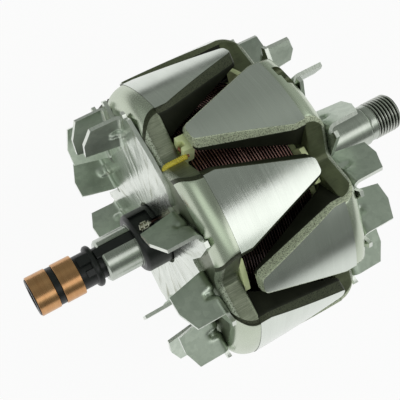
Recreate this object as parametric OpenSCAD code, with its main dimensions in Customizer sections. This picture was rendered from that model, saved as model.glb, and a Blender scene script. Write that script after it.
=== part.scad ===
// Rotor of a vehicle alternator. Two forged claw poles face each other on one
// shaft, so their fingers mesh around a field coil. A sheet steel fan sits on
// the outer face of each claw pole. The slip rings stand outboard of the rear
// bearing seat, and the coil's leads reach them through slots in that seat.
// The axis lies along X, with the threaded drive end at +X. The origin is on
// the axis, in the middle of the overall length and of the poles.

/* [Shaft] */
// Diameter of both bearing seats
seat_d = 17; // [15:0.5:20]
// Length of the drive end from the claw pole to the seat's shoulder
drive_seat_l = 40; // [32:1:50]
// Diameter of the plain shank beside the thread
shank_d = 15.6; // [13:0.2:16.4]
// Length of the plain shank
shank_l = 3; // [2:0.5:6]
// Outer diameter of the thread
thread_d = 16; // [14:0.5:17]
// Length of the thread
thread_l = 11.5; // [9:0.5:20]
// Step from the seats up to the shaft inside the claw poles
press_step = 0.7; // [0.4:0.1:2]
// Step from the rear seat up to the shaft inside the terminal hub
hub_step = 0.2; // [0.1:0.1:0.6]
// Length of the rear bearing seat that shows
rear_seat_l = 14; // [11:0.5:20]
// Chamfer at the shaft's shoulders and at the thread's end
chamfer = 0.9; // [0.4:0.1:1.2]

/* [Claw poles] */
// Diameter over the turned pole faces
pole_d = 115; // [108:1:125]
// Number of fingers on each claw pole
fingers = 6; // [6:1:6]
// Clear length between the two claw pole discs
coil_l = 40; // [37:0.5:46]
// Thickness of a claw pole's disc
disc_t = 8.5; // [7.5:0.25:10]
// Radius of the rounded shoulder behind a finger
shoulder_r = 8; // [6:0.25:8.5]
// Width of a finger at its root
finger_root_w = 27.8; // [25:0.2:28.6]
// Width of a finger at its tip
finger_tip_w = 6.4; // [5.2:0.2:9]
// How far a finger's tip stays from the other disc
finger_gap = 3.2; // [2.6:0.2:5]
// Length of the straight stretch before a finger tapers
finger_straight_l = 3.8; // [2:0.2:6]
// Thickness of a finger at its tip
finger_tip_t = 5; // [4:0.25:6.5]
// Thickness of a finger at its root
finger_root_t = 13; // [11.5:0.25:14]
// Depth of the sloping band along a finger's sides, above the upright part
finger_band_t = 4.2; // [3:0.2:6]
// Slope of that band, from upright
finger_draft = 20; // [10:1:24]
// Corner radius of a finger's tip
finger_tip_r = 2; // [1:0.1:2.4]
// Depth below the pole faces at which the walls between two fingers meet
valley_depth = 12.2; // [10:0.2:14]
// Fillet where those walls meet
valley_fillet = 4; // [2:0.5:6]
// Diameter of the balance drilling in the front claw pole's shoulder
balance_d = 7; // [5:0.5:9]
// Turn of the pole that faces up and forward, from straight down
pole_turn = 202.5; // [180:0.5:250]

/* [Coil] */
// Depth of the winding
winding_t = 12.3; // [9:0.1:15]
// Wall of the bobbin's tube
bobbin_wall = 1.6; // [1.2:0.1:2.2]
// Thickness of the bobbin's flanges
flange_t = 2.3; // [1.8:0.1:3]
// Reach of the flange tongues past the bottom between two fingers
tongue_step = 2.2; // [1:0.2:3.4]
// Gap from the flange tongues to the fingers beside them
tongue_gap = 2.2; // [1:0.2:5]
// Gap from the winding to the roots of the fingers
winding_gap = 2.5; // [1:0.25:5]
// Reach of the lead guides past the bottom between two fingers
guide_step = 5.3; // [4:0.1:6]
// Width of the lead guides
guide_w = 8.8; // [7:0.2:11]
// Depth of the lead guides along the axis
guide_t = 4; // [3.2:0.1:4.4]

/* [Fans] */
// Thickness of the fan sheet
fan_t = 1.5; // [1:0.1:2]
// Distance from the fan plate's tongues in to the pole faces
fan_margin = 2.9; // [1.5:0.1:4.5]
// Distance from a blade's bend to the end of its tongue
blade_margin = 2.6; // [2:0.1:4]
// Distance from the outer to the inner end of a blade's bend, along the radius
blade_span = 14; // [12:0.5:16]
// Distance from the inner end of the bends to the bottom of the cut-outs
cut_margin = 4.6; // [3:0.2:8]
// Gap from the fan plate to the terminal hub
fan_gap = 1.1; // [0.5:0.1:3]
// Angle from the inner to the outer end of a blade's bend
blade_sweep = 13; // [8:0.5:16]
// Height of a blade above the fan plate
blade_h = 16; // [12:0.5:18]
// Height of a blade's outer corner above the fan plate
blade_corner_h = 13; // [9:0.2:14]
// Inside radius of a blade's bend
bend_r = 1.6; // [1:0.1:2.4]

/* [Slip rings] */
// How much lower the slip rings are than the bearing seat
ring_drop = 0.65; // [0.3:0.05:1.2]
// Length of a slip ring
ring_l = 7.9; // [6.5:0.1:10]
// Wall of a slip ring
ring_wall = 1; // [0.7:0.1:1.3]
// Distance between the slip rings
ring_gap = 2.4; // [1.6:0.2:4]
// How much lower the insulation is than the slip rings
rim_step = 0.4; // [0.2:0.1:0.8]
// Length of the rim at the free end
rim_l = 0.4; // [0.2:0.1:1]
// Depth of the hollow at the free end
end_hollow = 1.4; // [0.8:0.2:3]
// Length of the neck between the inner ring and the bead
neck_l = 5.2; // [4:0.2:8]
// Wall of the neck
neck_wall = 2.25; // [1.8:0.05:2.6]
// How much lower the bead is than the bearing seat
bead_drop = 0.2; // [0.1:0.1:0.8]
// Rounding of the bead's edges
bead_bevel = 0.8; // [0.4:0.1:1]
// Length of the bead
bead_l = 2.8; // [2:0.2:4]
// Distance from the bead to the bearing seat
bead_gap = 1.8; // [1.2:0.2:3]

/* [Leads] */
// Wall of the terminal hub
hub_wall = 3.2; // [2.8:0.1:4]
// Length of the terminal hub
hub_l = 12.1; // [11:0.1:15]
// Bevel of the terminal hub's free edge
hub_bevel = 1.2; // [0.6:0.1:2]
// Width of a terminal pocket
pocket_w = 8.6; // [7:0.2:9.4]
// Length of a terminal pocket
pocket_l = 7.4; // [6:0.2:8]
// Wall under a terminal pocket
pocket_floor = 1.2; // [0.8:0.1:1.4]
// Wall between a terminal pocket and the hub's free face
pocket_lip = 1.4; // [1:0.1:2.4]
// Thickness of a terminal
terminal_t = 0.5; // [0.4:0.05:0.7]
// Width of a terminal
terminal_w = 3.2; // [2.4:0.1:4]
// Width of a lead bar
bar_w = 3.9; // [3:0.1:4.6]
// How much lower a lead bar is than the bearing seat
bar_drop = 0.35; // [0.2:0.05:0.6]
// Depth of the slot for a lead bar in the bearing seat
bar_t = 2.3; // [1.8:0.1:2.8]
// Wall of the slip ring carrier below the lead bars
stub_wall = 1.7; // [1.2:0.1:2.2]
// Diameter of a lead's sleeve
sleeve_d = 2.2; // [1.8:0.1:2.6]
// Diameter of a lead's wire
wire_d = 1.1; // [0.8:0.1:1.3]
// Angle of the first lead bar from the pole that faces forward
bar_at = -32; // [-40:1:-28]

/* [Hidden] */
// Clearance of round fits that don't turn
fit = 0.05;
// Clearance of pieces laid beside each other
lay = 0.3;
// Reach of a cutting shape past the surface that it cuts
over = 1;
// Number of flats around the corner of a finger's tip
tip_steps = 5;
// Number of flats on each half of the round bottom between two fingers
valley_steps = 4;
// Where the blades stand, from the pole that faces forward; the uneven
// spacing keeps the fans from whistling and leaves room for the leads
rear_blades = [3, 38, 73, 106, 140, 198, 228, 258, 281, 301];
front_blades = [14, 38, 72, 101, 128, 152, 177, 204, 238, 273, 302, 325, 350];
// Blades between which the rear plate closes over a lead
lead_gaps = [[301, 363], [140, 198]];
// Angles of a tongue's corners past the outer end of its blade
tongue_a = [2.6, 5, 11, 18];
// Corners of a lead web, as shares of the fan's radius and as angles past the
// blade before it, then as angles before the blade after it
web_r = [0.97, 0.995, 0.87, 0.81];
web_from_a = [4, 9, 26, 22];
web_to_a = [24, 16, 26];
// A blade's corners as shares of the length of its bend
blade_corners = [0.2, 0.56, 0.99];
// The lead's place beside the middle of the gap, and the other lead's
lead_off = 1.5;
opposite = 180;
// The terminal pocket's place beside its lead bar
pocket_off = -8;
// The balance drilling's place beside the front pole next to the leads, its
// distance from the pole faces as a share of the shoulder's radius, and the
// height of its floor as a share of the disc's thickness
balance_off = -5;
balance_in = 0.6;
balance_floor = 0.25;
// Where a finger's root begins to thicken toward its foot, as a share of the
// straight stretch
foot_share = 0.7;

pole_r = pole_d / 2;
pitch = 360 / fingers;
coil_half = coil_l / 2;
pole_half = coil_half + disc_t;
seat_r = seat_d / 2;
press_r = seat_r + press_step;
root_r = pole_r - finger_root_t;
foot_r = root_r - finger_straight_l;
valley_r = pole_r - valley_depth;
valley_a = pitch / 2 - asin((finger_root_w / 2 + lay) / pole_r);
wall_a = atan2(pole_r * sin(valley_a), pole_r * cos(valley_a) - valley_r);
valley_c = valley_r + valley_fillet / sin(wall_a);
tip_z = coil_half - finger_gap;
root_half_w = finger_root_w / 2;
tip_half_w = finger_tip_w / 2;
side_flare = finger_band_t * tan(finger_draft);
side_half_w = root_half_w + side_flare;
hub_z = -pole_half - hub_l;
seat_z = hub_z - rear_seat_l;
bead_z = seat_z - bead_gap;
neck_z = bead_z - bead_l;
inner_ring_z = neck_z - neck_l;
outer_ring_z = inner_ring_z - ring_l - ring_gap;
free_z = outer_ring_z - ring_l - rim_l;
drive_z = pole_half + drive_seat_l;
thread_z = drive_z + shank_l;
end_z = thread_z + thread_l;
ring_r = seat_r - ring_drop;
ring_seat_r = ring_r - ring_wall;
rim_r = ring_r - rim_step;
bead_r = seat_r - bead_drop;
bar_in_r = seat_r - bar_t;
stub_r = bar_in_r - stub_wall;
neck_r = stub_r + neck_wall;
hub_in_r = seat_r + hub_step;
hub_r = hub_in_r + hub_wall;
floor_r = hub_in_r + pocket_floor;
sleeve_r = sleeve_d / 2;
groove_w = sleeve_d + 2 * lay;
groove_t = sleeve_d + 2 * lay;
lead_at = -pitch / 2 + lead_off;
lead_in_r = floor_r + terminal_t + wire_d / 2 + 2 * fit;
lead_out_r = valley_c - sqrt(pow(valley_fillet - sleeve_r - fit, 2) - pow(valley_r * sin(lead_off), 2));
lead_z = -pole_half + groove_t / 2;
flange_z = coil_half - lay;
flange_r = foot_r + lay;
winding_r = root_r - winding_gap;
core_r = winding_r - winding_t - bobbin_wall - 2 * fit;
tongue_r = valley_r + tongue_step;
tongue_half_w = tongue_r * sin(pitch / 2 - asin(side_half_w / tongue_r)) - tongue_gap;
guide_r = valley_r + guide_step;
fan_r = pole_r - fan_margin;
blade_out_r = fan_r - blade_margin;
blade_in_r = blade_out_r - blade_span;
fan_hub_r = blade_in_r - cut_margin;
fan_bore_r = hub_r + fan_gap;
fan_mid_r = (fan_hub_r + fan_bore_r) / 2;
$fn = 96;

// Lays a shape that was built about Z along the rotor's axis.
module on_axis() {
    rotate([0, 90, 0])
        rotate(pole_turn)
            children();
}

// A ring about the axis between two stations.
module ring(z0, z1, r_in, r_out) {
    translate([0, 0, z0])
        difference() {
            cylinder(r = r_out, h = z1 - z0);
            translate([0, 0, -over])
                cylinder(r = r_in, h = z1 - z0 + 2 * over);
        }
}

// A block whose middle stands on a radius at an angle about the axis.
module block(angle, r0, r1, w, z0, z1) {
    rotate(angle)
        translate([r0, -w / 2, z0])
            cube([r1 - r0, w, z1 - z0]);
}

// Shaft: a turned bar with the rear seat slotted for the lead bars.
module shaft() {
    color([0.72, 0.74, 0.73])
        on_axis()
            difference() {
                rotate_extrude()
                    polygon([
                        [0, free_z + end_hollow],
                        [stub_r, free_z + end_hollow],
                        [stub_r, seat_z],
                        [seat_r - chamfer, seat_z],
                        [seat_r, seat_z + chamfer],
                        [seat_r, hub_z],
                        [hub_in_r, hub_z],
                        [hub_in_r, -pole_half],
                        [press_r, -pole_half],
                        [press_r, pole_half],
                        [seat_r, pole_half],
                        [seat_r, drive_z - chamfer],
                        [seat_r - chamfer, drive_z],
                        [shank_d / 2, drive_z],
                        [shank_d / 2, thread_z],
                        [thread_d / 2, thread_z],
                        [thread_d / 2, end_z - chamfer],
                        [thread_d / 2 - chamfer, end_z],
                        [0, end_z]
                    ]);
                for (a = [bar_at, bar_at + opposite])
                    block(a, bar_in_r - fit, hub_r, bar_w + 2 * fit, seat_z - over, hub_z + pocket_l);
            }
}

// Pole core: the plain iron ring inside the coil.
module pole_core() {
    color([0.45, 0.46, 0.44])
        on_axis()
            ring(-coil_half, coil_half, press_r + fit, core_r);
}

// Outline of a claw pole before its gaps are cut: a disc with a rounded
// shoulder and a rim that thins toward the finger tips.
module cup_outline() {
    foot_z = -coil_half + foot_share * finger_straight_l;
    slope = (finger_root_t - finger_tip_t) / (tip_z - foot_z);
    translate([press_r + fit, -pole_half])
        square([pole_r - shoulder_r - press_r - fit, disc_t]);
    intersection() {
        translate([pole_r - shoulder_r, -pole_half + shoulder_r])
            circle(shoulder_r);
        translate([pole_r - shoulder_r, -pole_half])
            square(shoulder_r);
    }
    polygon([
        [pole_r, -pole_half + shoulder_r],
        [pole_r, tip_z + over],
        [pole_r - finger_tip_t + over * slope, tip_z + over],
        [root_r, foot_z],
        [foot_r, -coil_half - over / 2],
        [pole_r - shoulder_r, -coil_half - over / 2]
    ]);
}

// Gap between two fingers in the disc, a wide V with a round bottom.
module valley() {
    far = pole_r;
    bottom = [for (k = [-valley_steps:valley_steps])
        let (a = 180 - (90 - wall_a) * k / valley_steps)
            [valley_c + valley_fillet * cos(a), valley_fillet * sin(a)]];
    translate([0, 0, -pole_half - over])
        linear_extrude(disc_t + 2 * over)
            polygon(concat(bottom, [
                [valley_r + far * cos(wall_a), far * sin(wall_a)],
                [valley_r + far * cos(wall_a), -far * sin(wall_a)]
            ]));
}

// What is cut away beside one finger: everything from its upright side to the
// middle of the gap, and above that the slope of the band up to its face.
module beside_finger() {
    taper_z = -coil_half + finger_straight_l;
    taper_a = atan2(root_half_w - tip_half_w, tip_z - taper_z);
    center_z = tip_z - finger_tip_r;
    center_w = tip_half_w + side_flare + finger_tip_r * tan(taper_a) - finger_tip_r / cos(taper_a);
    far = pole_r;
    corner = [for (k = [0:tip_steps])
        let (a = taper_a + (90 - taper_a) * k / tip_steps)
            [center_w + finger_tip_r * cos(a), center_z + finger_tip_r * sin(a)]];
    intersection() {
        union() {
            rotate([90, 0, 90])
                linear_extrude(pole_r + over)
                    polygon(concat(
                        [[side_half_w, -coil_half], [side_half_w, taper_z]],
                        corner,
                        [[-over, tip_z], [-over, coil_half], [far, coil_half], [far, -coil_half]]
                    ));
            translate([pole_r - finger_band_t, side_half_w, taper_z])
                for (a = [0, taper_a])
                    rotate([a, 0, 0])
                        rotate(-finger_draft)
                            translate([0, 0, -finger_root_w])
                                cube([far, far, coil_l + finger_root_w]);
        }
        translate([0, 0, -coil_half])
            linear_extrude(coil_l)
                polygon([[0, 0], [2 * far, -2 * over], 2 * far * [cos(pitch / 2 + 1), sin(pitch / 2 + 1)]]);
    }
}

// A claw pole: one forging with six fingers, turned on the outside.
module claw_pole() {
    difference() {
        rotate_extrude()
            cup_outline();
        for (k = [0:fingers - 1])
            rotate(k * pitch) {
                rotate(pitch / 2)
                    valley();
                beside_finger();
                mirror([0, 1, 0])
                    beside_finger();
            }
    }
}

module claw_pole_rear() {
    color([0.62, 0.65, 0.58])
        on_axis()
            difference() {
                claw_pole();
                for (a = [lead_at, lead_at + opposite])
                    block(a, press_r - over, pole_r, groove_w, -pole_half - over, -pole_half + groove_t);
            }
}

module claw_pole_front() {
    color([0.62, 0.65, 0.58])
        on_axis()
            difference() {
                rotate(pitch / 2)
                    mirror([0, 0, 1])
                        claw_pole();
                rotate(-pitch / 2 + balance_off)
                    translate([pole_r - balance_in * shoulder_r, 0, coil_half + balance_floor * disc_t])
                        cylinder(d = balance_d, h = disc_t);
            }
}

// Bobbin flange with tongues that reach out between the fingers.
module flange(first) {
    linear_extrude(flange_t) {
        circle(flange_r);
        for (k = [0:fingers - 1])
            rotate(first + k * pitch)
                intersection() {
                    translate([0, -tongue_half_w])
                        square([tongue_r, 2 * tongue_half_w]);
                    circle(tongue_r);
                }
    }
}

// Coil bobbin: a moulded spool with a guide for each lead.
module coil_bobbin() {
    color([0.80, 0.85, 0.62])
        on_axis()
            difference() {
                union() {
                    cylinder(r = core_r + fit + bobbin_wall, h = 2 * flange_z, center = true);
                    translate([0, 0, -flange_z])
                        flange(pitch / 2);
                    translate([0, 0, flange_z - flange_t])
                        flange(0);
                    for (a = [lead_at, lead_at + opposite])
                        block(a, winding_r + lay, guide_r, guide_w, -flange_z, -flange_z + guide_t);
                }
                cylinder(r = core_r + fit, h = coil_l, center = true);
                for (a = [lead_at, lead_at + opposite])
                    block(a, lead_out_r - sleeve_r - fit, guide_r + over, sleeve_d + 2 * fit,
                        -flange_z - over, -flange_z + guide_t / 2);
            }
}

module field_winding() {
    half = flange_z - flange_t - lay;
    color([0.40, 0.14, 0.10])
        on_axis()
            ring(-half, half, core_r + fit + bobbin_wall + fit, winding_r);
}

// A lead's route, as a round bar from the coil out to the end face, in along
// the face to the hub, and out again to the terminal.
module lead_route(d, first_z, in_r, last_z) {
    translate([lead_out_r, 0, lead_z])
        cylinder(d = d, h = first_z - lead_z);
    translate([lead_out_r, 0, lead_z])
        sphere(d = d);
    translate([in_r, 0, lead_z])
        rotate([0, 90, 0])
            cylinder(d = d, h = lead_out_r - in_r);
    if (last_z < lead_z) {
        translate([in_r, 0, lead_z])
            sphere(d = d);
        translate([in_r, 0, last_z])
            cylinder(d = d, h = lead_z - last_z);
    }
}

module lead_wire(angle) {
    color([0.62, 0.28, 0.20])
        on_axis()
            rotate(angle)
                lead_route(wire_d, -flange_z + guide_t / 2 - fit, lead_in_r, hub_z + pocket_l / 2);
}

module lead_sleeve(angle) {
    color([0.78, 0.68, 0.12])
        on_axis()
            rotate(angle)
                difference() {
                    lead_route(sleeve_d, -flange_z + guide_t / 4, hub_r + lay, 0);
                    lead_route(wire_d + 2 * fit, 0, 0, 0);
                }
}

// A blade's outline, along its bend and up from the plate.
module blade_outline(length) {
    polygon([
        [0, 0],
        [length * blade_corners[0], blade_h],
        [length * blade_corners[1], blade_h],
        [length * blade_corners[2], blade_corner_h],
        [length, 0]
    ]);
}

// Cross-section of the bent sheet, from the plate up into the blade.
module bend_section() {
    outside_r = bend_r + fan_t;
    translate([-fan_t, outside_r])
        square([fan_t, blade_h]);
    intersection() {
        translate([-fan_t, 0])
            square([outside_r, outside_r]);
        difference() {
            translate([bend_r, outside_r])
                circle(outside_r);
            translate([bend_r, outside_r])
                circle(bend_r);
        }
    }
    translate([bend_r, 0])
        square([over, fan_t]);
}

// One blade with its bend, for the blade whose bend ends outside on X.
module blade() {
    inner = [blade_in_r * cos(blade_sweep), -blade_in_r * sin(blade_sweep)];
    along = [blade_out_r, 0] - inner;
    length = norm(along);
    translate(inner)
        rotate(atan2(along[1], along[0]))
            intersection() {
                rotate([90, 0, 90])
                    linear_extrude(length)
                        bend_section();
                translate([0, bend_r + 2 * over, 0])
                    rotate([90, 0, 0])
                        linear_extrude(bend_r + fan_t + 3 * over)
                            blade_outline(length);
            }
}

// Part of the plate that carries one blade, from its bend to its trailing edge.
module tongue() {
    inner = [blade_in_r * cos(blade_sweep), -blade_in_r * sin(blade_sweep)];
    along = [blade_out_r, 0] - inner;
    a = atan2(along[1], along[0]);
    shift = (bend_r + lay) * [-sin(a), cos(a)];
    polygon([
        fan_mid_r * [cos(a), -sin(a)],
        inner + shift - (blade_in_r - fan_hub_r) * [cos(a), sin(a)],
        [blade_out_r, 0] + shift + over * [cos(a), sin(a)],
        fan_r * [cos(tongue_a[0]), sin(tongue_a[0])],
        fan_r * [cos(tongue_a[1]), sin(tongue_a[1])],
        (fan_r + fan_hub_r) / 2 * [cos(tongue_a[2]), sin(tongue_a[2])],
        (fan_hub_r - over) * [cos(tongue_a[3]), sin(tongue_a[3])],
        fan_mid_r * [cos(tongue_a[3] - tongue_a[1]), sin(tongue_a[3] - tongue_a[1])]
    ]);
}

// Web of the plate beside the leads, where the blades stand wide apart.
module lead_web(from, to) {
    polygon([
        fan_mid_r * [cos(from + web_from_a[3]), sin(from + web_from_a[3])],
        web_r[0] * fan_r * [cos(from + web_from_a[0]), sin(from + web_from_a[0])],
        web_r[1] * fan_r * [cos(from + web_from_a[1]), sin(from + web_from_a[1])],
        web_r[2] * fan_r * [cos(from + web_from_a[2]), sin(from + web_from_a[2])],
        web_r[3] * fan_r * [cos(to - web_to_a[0]), sin(to - web_to_a[0])],
        blade_in_r * [cos(to - web_to_a[1]), sin(to - web_to_a[1])],
        fan_mid_r * [cos(to - web_to_a[2]), sin(to - web_to_a[2])]
    ]);
}

// A fan: one sheet of steel with every blade bent up from it.
module fan(blades, gaps) {
    translate([0, 0, pole_half])
        linear_extrude(fan_t)
            difference() {
                union() {
                    circle(fan_hub_r);
                    for (a = blades)
                        rotate(a)
                            tongue();
                    for (g = gaps)
                        lead_web(g[0], g[1]);
                }
                circle(fan_bore_r);
            }
    for (a = blades)
        rotate(a)
            translate([0, 0, pole_half])
                blade();
}

module fan_rear() {
    color([0.60, 0.66, 0.60])
        on_axis()
            mirror([0, 0, 1])
                fan(rear_blades, lead_gaps);
}

module fan_front() {
    color([0.60, 0.66, 0.60])
        on_axis()
            fan(front_blades, []);
}

// Terminal hub: a moulded collar with an open pocket for each terminal.
module terminal_hub() {
    pocket_z = hub_z + pocket_lip;
    color([0.16, 0.17, 0.17])
        on_axis()
            difference() {
                rotate_extrude()
                    polygon([
                        [hub_in_r + fit, hub_z],
                        [hub_r - hub_bevel, hub_z],
                        [hub_r, hub_z + hub_bevel],
                        [hub_r, -pole_half],
                        [hub_in_r + fit, -pole_half]
                    ]);
                for (a = [bar_at, bar_at + opposite])
                    block(a + pocket_off, floor_r, hub_r + over, pocket_w, pocket_z, pocket_z + pocket_l);
                for (a = [lead_at, lead_at + opposite])
                    block(a, floor_r, hub_r + over, wire_d + 2 * lay, hub_z + pocket_l, -pole_half + over);
            }
}

// Terminal: a strip on the pocket's floor, folded up on both sides of the wire.
module terminal(angle) {
    middle_z = hub_z + pocket_lip + pocket_l / 2;
    top_r = hub_r - lay;
    color([0.75, 0.70, 0.50])
        on_axis()
            rotate(angle)
                difference() {
                    translate([floor_r + fit, -terminal_w / 2, middle_z - terminal_w / 2])
                        cube([top_r - floor_r, terminal_w, terminal_w]);
                    translate([floor_r + fit + terminal_t, -terminal_w / 2 + terminal_t, middle_z - terminal_w])
                        cube([hub_r, terminal_w - 2 * terminal_t, 2 * terminal_w]);
                }
}

// Lead bar: a strip in its slot, from the slip ring carrier to the pocket.
module lead_bar(angle) {
    color([0.14, 0.15, 0.15])
        on_axis()
            block(angle, bar_in_r, seat_r - bar_drop, bar_w, bead_z + fit, hub_z + pocket_l - fit);
}

// Slip ring carrier: a moulded sleeve with a seat for each ring.
module slip_ring_carrier() {
    collar_r = bar_in_r - fit;
    color([0.15, 0.16, 0.16])
        on_axis()
            rotate_extrude()
                polygon([
                    [stub_r + fit, free_z],
                    [rim_r - rim_l, free_z],
                    [rim_r, free_z + rim_l],
                    [ring_seat_r, free_z + rim_l],
                    [ring_seat_r, outer_ring_z],
                    [rim_r, outer_ring_z],
                    [rim_r, inner_ring_z - ring_l],
                    [ring_seat_r, inner_ring_z - ring_l],
                    [ring_seat_r, inner_ring_z],
                    [neck_r, inner_ring_z],
                    [neck_r, neck_z],
                    [bead_r - bead_bevel, neck_z],
                    [bead_r, neck_z + bead_bevel],
                    [bead_r, bead_z - bead_bevel],
                    [bead_r - bead_bevel, bead_z],
                    [collar_r, bead_z],
                    [collar_r, seat_z],
                    [stub_r + fit, seat_z]
                ]);
}

module slip_ring(z) {
    color([0.80, 0.56, 0.32])
        on_axis()
            ring(z - ring_l + fit, z - fit, ring_seat_r + fit, ring_r);
}

shaft();
pole_core();
claw_pole_rear();
claw_pole_front();
coil_bobbin();
field_winding();
lead_wire(lead_at);  // lead_wire_a
lead_wire(lead_at + opposite);  // lead_wire_b
lead_sleeve(lead_at);  // lead_sleeve_a
lead_sleeve(lead_at + opposite);  // lead_sleeve_b
fan_rear();
fan_front();
terminal_hub();
terminal(lead_at);  // terminal_a
terminal(lead_at + opposite);  // terminal_b
lead_bar(bar_at);  // lead_bar_a
lead_bar(bar_at + opposite);  // lead_bar_b
slip_ring_carrier();
slip_ring(inner_ring_z);  // slip_ring_inner
slip_ring(outer_ring_z);  // slip_ring_outer
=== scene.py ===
import math

import bmesh
import bpy
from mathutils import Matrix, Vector, noise
from mathutils.geometry import delaunay_2d_cdt


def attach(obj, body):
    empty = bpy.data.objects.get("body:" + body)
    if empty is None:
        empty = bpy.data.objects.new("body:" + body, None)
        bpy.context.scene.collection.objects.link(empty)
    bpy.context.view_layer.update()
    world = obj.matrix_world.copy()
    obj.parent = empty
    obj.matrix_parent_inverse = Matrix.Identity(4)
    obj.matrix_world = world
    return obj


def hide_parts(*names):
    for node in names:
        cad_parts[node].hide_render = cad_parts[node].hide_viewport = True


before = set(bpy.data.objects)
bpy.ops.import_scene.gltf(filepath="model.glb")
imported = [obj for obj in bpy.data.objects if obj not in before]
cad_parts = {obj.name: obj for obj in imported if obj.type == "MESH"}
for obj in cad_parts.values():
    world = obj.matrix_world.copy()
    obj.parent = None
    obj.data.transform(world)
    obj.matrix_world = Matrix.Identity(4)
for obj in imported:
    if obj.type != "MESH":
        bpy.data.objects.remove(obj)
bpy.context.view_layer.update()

# The studio: a white paper floor under the rotor, grey walls in bands that the
# steel mirrors, and one broad lamp in front. The camera stands where the
# photograph was taken. Sizes in this file are in millimetres.
MM = 0.001
FLOOR_Z = -57.6
FLOOR_HALF = 4000
WHITE = (1, 1, 1, 1)


class Value:
    """A shader socket. Arithmetic on it adds Math nodes."""

    def __init__(self, finish, socket):
        self.finish, self.socket = finish, socket

    def _math(self, operation, first, second):
        return self.finish.node("Math", {"operation": operation}, {0: first, 1: second})

    def __add__(self, other):
        return self._math("ADD", self, other)

    def __sub__(self, other):
        return self._math("SUBTRACT", self, other)

    def __rsub__(self, other):
        return self._math("SUBTRACT", other, self)

    def __mul__(self, other):
        return self._math("MULTIPLY", self, other)

    def __pow__(self, other):
        return self._math("POWER", self, other)

    def __or__(self, other):
        return self._math("MAXIMUM", self, other)

    __radd__, __rmul__ = __add__, __mul__


class Finish:
    """The nodes of one material, or of the world, made one at a time."""

    def __init__(self, owner):
        owner.use_nodes = True
        self.owner = owner
        self.tree = owner.node_tree
        self.tree.nodes.clear()

    def node(self, kind, settings=None, sockets=None, output=0):
        made = self.tree.nodes.new("ShaderNode" + kind)
        for name, setting in (settings or {}).items():
            if name == "stops":
                elements = made.color_ramp.elements
                while len(elements) < len(setting):
                    elements.new(1)
                for element, (place, colour) in zip(elements, setting):
                    element.position, element.color = place, colour
            else:
                setattr(made, name, setting)
        for name, value in (sockets or {}).items():
            if isinstance(value, Value):
                self.tree.links.new(value.socket, made.inputs[name])
            else:
                made.inputs[name].default_value = value
        return Value(self, made.outputs[output]) if made.outputs else None

    def mix(self, share, low, high):
        return self.node("Mix", {"data_type": "RGBA"}, {0: share, 6: low, 7: high}, output=2)


backdrop = Finish(bpy.data.worlds.new("backdrop"))
bpy.context.scene.world = backdrop.owner
direction = backdrop.node("TexCoord", output="Generated")
sideways, behind, height = (backdrop.node("SeparateXYZ", {}, {0: direction}, output=axis)
                            for axis in "XYZ")


def grey(level):
    """The walls' grey, a little green."""
    return 0.935 * level, level, 0.92 * level, 1


def by_height(levels):
    """Brightness of the room at each height above the horizon."""
    stops = [(h, grey(level)) for h, level in levels]
    return backdrop.node("ValToRGB", {"stops": stops}, {0: height})


front_wall = by_height([(0.0, 0.20), (0.40, 0.22), (0.49, 0.62), (0.62, 0.72), (0.80, 0.60),
                        (0.87, 0.19), (1.0, 0.26)])
back_wall = by_height([(0.0, 0.30), (0.35, 0.27), (0.70, 0.27), (0.90, 0.36), (1.0, 0.30)])


def eased(value, low, high):
    """A soft step from 0 to 1 between low and high."""
    return backdrop.node("MapRange", {"interpolation_type": "SMOOTHSTEP"},
                         {"Value": value, "From Min": low, "From Max": high})


DRIVE_EXTRA, RING_EXTRA = 0.9, 0.6
PALE_BACKDROP = (0.96, 0.96, 0.96, 1)
walls = backdrop.mix(eased(behind, -0.05, 0.25), front_wall, back_wall)
side_light = (1.0 + DRIVE_EXTRA * eased(sideways, 0.4, 0.8)
              + RING_EXTRA * eased(0.0 - sideways, 0.05, 0.55))
walls = backdrop.node("VectorMath", {"operation": "SCALE"}, {0: walls, "Scale": side_light})
seen = backdrop.node("LightPath", output="Is Camera Ray")
room = backdrop.mix(seen, walls, PALE_BACKDROP)
light = backdrop.node("Background", {}, {"Color": room, "Strength": 1.0})
backdrop.node("OutputWorld", {}, {"Surface": light})


def new_finish(name):
    return Finish(bpy.data.materials.new(name))


def place(data, name):
    thing = bpy.data.objects.new(name, data)
    bpy.context.collection.objects.link(thing)
    return thing


MIDDLE_Y, NEAR_HALF, FAR_HALF = 100, 220, 750
PAPER_PAINTED_DIM, PAPER_PAINTED_POOL, PAPER_GLOW = (0.30, 0.30, 0.30, 1), (0.95, 0.95, 0.95, 1), 0.93
floor_mesh = bpy.data.meshes.new("floor")
floor_corners = [(sx * FLOOR_HALF * MM, sy * FLOOR_HALF * MM, FLOOR_Z * MM)
                 for sx, sy in ((-1, -1), (1, -1), (1, 1), (-1, 1))]
floor_mesh.from_pydata(floor_corners, [], [(0, 1, 2, 3)])
floor = place(floor_mesh, "floor")
floor_finish = new_finish("floor_paper")
glow = floor_finish.node("Emission", {}, {"Color": WHITE, "Strength": 1.0})
spot = floor_finish.node("TexCoord", output="Object")
ahead = floor_finish.node("SeparateXYZ", {}, {0: spot}, output="Y")
off_middle = floor_finish.node("Math", {"operation": "ABSOLUTE"}, {0: ahead - MIDDLE_Y * MM})
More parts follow.
